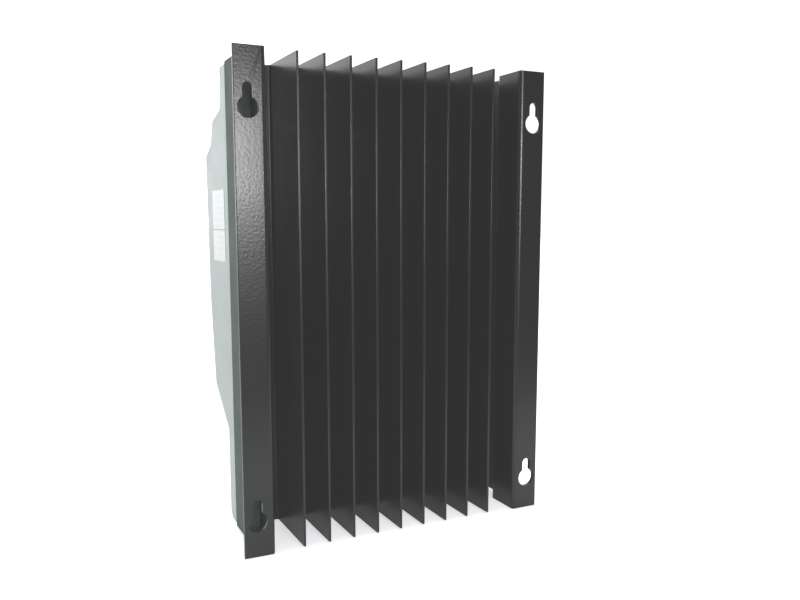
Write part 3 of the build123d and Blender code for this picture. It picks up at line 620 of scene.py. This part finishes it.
def disc(x, y, radius):
    """Outline of a round dot."""
    count = 24
    turns = [2 * math.pi * i / count for i in range(count)]
    return [(x + radius * math.cos(t), y + radius * math.sin(t)) for t in turns]


def border(x, y, width, height, line):
    """Four bars that frame a rectangle."""
    return [
        bar(x, y + height / 2, width + line, line),
        bar(x, y - height / 2, width + line, line),
        bar(x - width / 2, y, line, height - line),
        bar(x + width / 2, y, line, height - line),
    ]


def sun_mark(x, y, size):
    """A disc with eight rays."""
    marks = [disc(x, y, 0.22 * size)]
    away = 0.42 * size
    for i in range(8):
        turn = math.pi * i / 4
        ray_x, ray_y = x + away * math.cos(turn), y + away * math.sin(turn)
        marks.append(bar(ray_x, ray_y, 0.20 * size, 0.07 * size, turn))
    return marks


def battery_mark(x, y, size):
    """A case with its terminal, and three cells filled."""
    case = border(x, y, size, 0.55 * size, 0.08 * size)
    terminal = bar(x + 0.58 * size, y, 0.08 * size, 0.24 * size)
    cells = [bar(x + size * (-0.34 + 0.225 * i), y, 0.14 * size, 0.36 * size) for i in range(3)]
    return case + [terminal] + cells


def lamp_mark(x, y, size):
    """A bulb over two lines of its cap."""
    bulb = disc(x, y + 0.14 * size, 0.30 * size)
    upper = bar(x, y - 0.25 * size, 0.26 * size, 0.07 * size)
    lower = bar(x, y - 0.37 * size, 0.20 * size, 0.07 * size)
    return [bulb, upper, lower]


def segment(x, y, length, line, turn):
    """One display segment, pointed at both ends."""
    tip, side, edge = length / 2, length / 2 - line / 2, line / 2
    points = ((-tip, 0), (-side, -edge), (side, -edge), (tip, 0), (side, edge), (-side, edge))
    return turned_outline(points, x, y, turn)


# which of the seven segments each digit lights, in the order of SEGMENT_PLACES
LIT = {"1": "0010010", "2": "1011101", "3": "1011011"}
# x and y of each segment by the digit's height, and whether it stands upright
SEGMENT_PLACES = (
    (0.0, 0.5, False),
    (-0.27, 0.25, True),
    (0.27, 0.25, True),
    (0.0, 0.0, False),
    (-0.27, -0.25, True),
    (0.27, -0.25, True),
    (0.0, -0.5, False),
)


def digit_marks(text, x, y, size):
    """Seven-segment figures; a point takes a small square."""
    marks = []
    line, pitch = 0.11 * size, 0.84 * size
    for sign in text:
        if sign == ".":
            marks.append(bar(x - pitch / 2, y - size / 2, line, line))
            continue
        for lit, (u, v, upright) in zip(LIT[sign], SEGMENT_PLACES):
            if lit == "1":
                length = 0.45 * size if upright else 0.48 * size
                turn = math.pi / 2 if upright else 0.0
                marks.append(segment(x + u * size, y + v * size, length, line, turn))
        x += pitch
    return marks


# ---- printing on the overlay, the keys, the display and the cover ------------------------------------
def print_overlay():
    """A frame line, a line around the window, an icon beside each light and a line under each key."""
    face = Face("front_overlay")
    low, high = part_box("front_overlay")
    width, height = high.x - low.x, (high.z - low.z) / face.up.z
    inset, frame_line, thin_line = 3.5 * MM, 0.35 * MM, 0.3 * MM
    marks = border(0.0, 0.0, width - inset, height - inset, frame_line)

    window_x, window_y = face.coordinates(center("display_window"))
    low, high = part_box("display_window")
    tilt_allowance = 1.5 * MM
    marks += border(window_x, window_y, high.x - low.x, high.z - low.z - tilt_allowance, thin_line)

    low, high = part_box("light_pipes")
    lights_x, lights_y = face.coordinates(center("light_pipes"))
    light_diameter = high.x - low.x
    pitch = (high.z - low.z - light_diameter) / 2
    icon_offset, icon_size = 7.2 * MM, 4.6 * MM
    for step, mark in ((1, sun_mark), (0, battery_mark), (-1, lamp_mark)):
        marks += mark(lights_x + icon_offset, lights_y + step * pitch, icon_size)

    key_line_drop, key_line_length = 7.6 * MM, 9.0 * MM
    for name in KEYS:
        x, y = face.coordinates(center("key_" + name))
        marks.append(bar(x, y - key_line_drop, key_line_length, thin_line))
    plates("overlay_print", face, marks, "white_ink")


def print_keys():
    """A legend on each key: three bars, an arrow down, an arrow up, and a return arrow."""
    line = 0.7 * MM
    arrow = [(-2.2 * MM, 1.1 * MM), (0.0, -1.3 * MM), (2.2 * MM, 1.1 * MM)]
    arrow_head = [(-1.0 * MM, 0.5 * MM), (-2.6 * MM, -0.6 * MM), (-1.0 * MM, -1.7 * MM)]
    arrow_shaft = bar(0.8 * MM, -0.6 * MM, 3.6 * MM, line)
    arrow_hook = bar(2.25 * MM, 0.65 * MM, line, 1.8 * MM)
    legends = {
        "menu": [bar(0.0, step * 1.5 * MM, 4.6 * MM, line) for step in (-1, 0, 1)],
        "down": [arrow],
        "up": [[(x, -y) for x, y in arrow]],
        "enter": [arrow_shaft, arrow_hook, arrow_head],
    }
    for name in KEYS:
        face = Face("key_" + name)
        plates(name + "_legend", face, legends[name], "white_ink", body=name + "_key")


def draw_display():
    """A reading, a battery, a sun and a row of level bars."""
    icon_x = 22.0 * MM
    marks = digit_marks("13.2", -24.0 * MM, 2.0 * MM, 15.0 * MM)
    marks += battery_mark(icon_x, 8.0 * MM, 12.0 * MM)
    marks += sun_mark(icon_x, -7.0 * MM, 11.0 * MM)
    marks += [bar(step * 4.0 * MM, -15.0 * MM, 3.0 * MM, 1.2 * MM) for step in range(-6, 3)]
    plates("display_segments", Face("lcd_panel"), marks, "lcd_ink")


def mark_poles():
    """Printed plus and minus signs below the cable entries, in turn."""
    face = Face("cable_grommets")
    low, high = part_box("cable_grommets")
    count, lip_radius, gap = 6, 9.3 * MM, 3.0 * MM
    arm, line = 3.6 * MM, 0.8 * MM
    pitch = (high.x - low.x - 2 * lip_radius) / (count - 1)
    wall_drop = 1.85 * MM          # from the grommets' faces down to just under the cover's face
    branch, branch_offset = (arm - line) / 2, (arm + line) / 4
    marks = []
    for i in range(count):
        x, y = low.x + lip_radius + i * pitch - face.middle.x, -lip_radius - gap
        marks.append(bar(x, y, arm, line))
        if i % 2 == 0:
            marks.append(bar(x, y + branch_offset, line, branch))
            marks.append(bar(x, y - branch_offset, line, branch))
    plates("pole_marks", face, marks, "lcd_ink", out=-wall_drop, thickness=2 * INK)


# ---- wound inductors ----------------------------------------------------------------------------------
def wind_inductors():
    """Single turns of wire around each core, in place of the plain rings of the frame."""
    core_low, core_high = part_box("inductor_cores")
    ring_low, ring_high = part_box("inductor_windings")
    outer, inner = (core_high.z - core_low.z) / 2, 9.5 * MM
    wire, gap = 0.85 * MM, 0.25 * MM
    turns, steps, open_part = 27, 20, math.radians(44.0)
    radial = (outer - inner) / 2 + wire + gap
    axial = (core_high.y - core_low.y) / 2 + wire + gap
    mean = (outer + inner) / 2
    squareness = 0.5               # 1 would give elliptic turns
    data = bpy.data.curves.new("inductor_wire", "CURVE")
    data.dimensions = "3D"
    data.bevel_depth = wire
    data.bevel_resolution = 3
    data.use_fill_caps = True
    for side in (-1, 1):
        x = side * ((ring_high.x - ring_low.x) / 2 - (ring_high.z - ring_low.z) / 2)
        hub = Vector((x, (ring_low.y + ring_high.y) / 2, (ring_low.z + ring_high.z) / 2))
        spline = data.splines.new("POLY")
        spline.points.add(turns * steps)
        for i in range(turns * steps + 1):
            around = open_part / 2 + (2 * math.pi - open_part) * i / (turns * steps)
            loop = 2 * math.pi * i / steps
            across = math.copysign(abs(math.cos(loop)) ** squareness, math.cos(loop))
            along = math.copysign(abs(math.sin(loop)) ** squareness, math.sin(loop))
            radius = mean + radial * across
            offset = (radius * math.sin(around), axial * along, radius * math.cos(around))
            spline.points[i].co = (*(hub + Vector(offset)), 1.0)
    piece = bpy.data.objects.new("inductor_wire", data)
    bpy.context.collection.objects.link(piece)
    data.materials.append(material("copper_wire"))
    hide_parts("inductor_windings")
    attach(piece, "case")


# ---- floor, light and camera ---------------------------------------------------------------------
def build_stage():
    """A white sheet that glows a little.

    Further out on the wall side it throws back little light, as a dark table would. The camera sees it white.
    """
    half = 6.0
    sheet_end, table_start = 0.20, 0.36
    mesh = bpy.data.meshes.new("floor")
    corners = [(-half, -half, 0), (half, -half, 0), (half, half, 0), (-half, half, 0)]
    mesh.from_pydata(corners, [], [(0, 1, 2, 3)])
    floor = bpy.data.objects.new("floor", mesh)
    bpy.context.collection.objects.link(floor)
    s = Shader("floor")
    seen = s.for_camera()
    sheet = s.spread(s.axes(s.coords)["Y"], 1.0, 0.0, sheet_end, table_start)
    lit = s.most(seen, sheet)
    paper = s.mix(s.noise(1.2, 2.0), rgb(0.88, 0.88, 0.90), rgb(0.91, 0.91, 0.93))
    s.put(Base_Color=s.mix(lit, rgb(0.04, 0.04, 0.04), paper), Roughness=0.8, Specular_IOR_Level=0.2)
    s.put(Emission_Color=rgb(0.98, 0.98, 1.0))
    s.put(Emission_Strength=s.times(lit, s.spread(seen, 0.15, 0.60, 0.0, 1.0)))
    floor.data.materials.append(s.material)
    floor.location.z = CAD_BOX[0][2] - FLOOR_GAP


def build_world():
    """A white room that is dark only low behind the wall side, and plain white for the camera."""
    scene = bpy.context.scene
    scene.world = bpy.data.worlds.new("studio")
    scene.world.use_nodes = True
    w = Nodes(scene.world.node_tree)
    direction = w.axes(w.node("ShaderNodeTexCoord").outputs["Generated"])
    wall_side = w.spread(direction["Y"], 1.0, 0.04, 0.0, 0.40, "SMOOTHSTEP")
    front_side = w.spread(direction["Y"], 2.2, 1.0, -1.0, -0.86, "SMOOTHSTEP")
    overhead = w.spread(direction["Z"], 0.0, 1.0, 0.55, 0.85, "SMOOTHSTEP")
    brightness = 1.20
    room = w.times(w.most(w.times(wall_side, front_side), overhead), brightness)
    background = w.tree.nodes["Background"]
    w.feed(background.inputs["Strength"], w.most(room, w.for_camera()))
    w.feed(background.inputs["Color"], rgb(0.97, 1.0, 0.995))
    scene.view_settings.view_transform = "Standard"


def area_light(name, place, target, size, radiance):
    """A square lamp of a given brightness, aimed at a point and hidden from the camera."""
    data = bpy.data.lights.new(name, "AREA")
    data.size = size
    data.energy = radiance * math.pi * size * size
    light = bpy.data.objects.new(name, data)
    bpy.context.collection.objects.link(light)
    light.location = place
    light.rotation_euler = (Vector(target) - Vector(place)).to_track_quat("-Z", "Y").to_euler()
    light.visible_camera = False


def build_camera():
    """On the wall side, looking slightly down at the back of the part."""
    data = bpy.data.cameras.new("camera")
    camera = bpy.data.objects.new("camera", data)
    bpy.context.collection.objects.link(camera)
    data.sensor_width = 36.0
    data.lens = CAMERA_LENS
    data.shift_x, data.shift_y = CAMERA_SHIFT
    camera.location = CAMERA_PLACE
    level = math.cos(CAMERA_PITCH)
    forward = Vector((-math.sin(CAMERA_YAW) * level, -math.cos(CAMERA_YAW) * level, -math.sin(CAMERA_PITCH)))
    camera.rotation_euler = forward.to_track_quat("-Z", "Y").to_euler()
    bpy.context.scene.camera = camera


def lift_blacks():
    """The slight haze of the studio picture: its darkest tone is a dark grey, not black."""
    black_level = -0.030
    settings = bpy.context.scene.view_settings
    settings.use_curve_mapping = True
    settings.curve_mapping.black_level = (black_level, black_level, black_level)
    settings.curve_mapping.update()


dress_nodes()
print_overlay()
print_keys()
draw_display()
mark_poles()
wind_inductors()
build_stage()
build_world()
area_light("lamp", place=(-0.125, 1.10, 0.170), target=(0.09, 0.0, 0.08), size=0.15, radiance=56.0)
area_light("far_lamp", place=(0.26, 1.30, 0.240), target=(0.06, 0.0, 0.08), size=0.20, radiance=24.0)
build_camera()
lift_blacks()
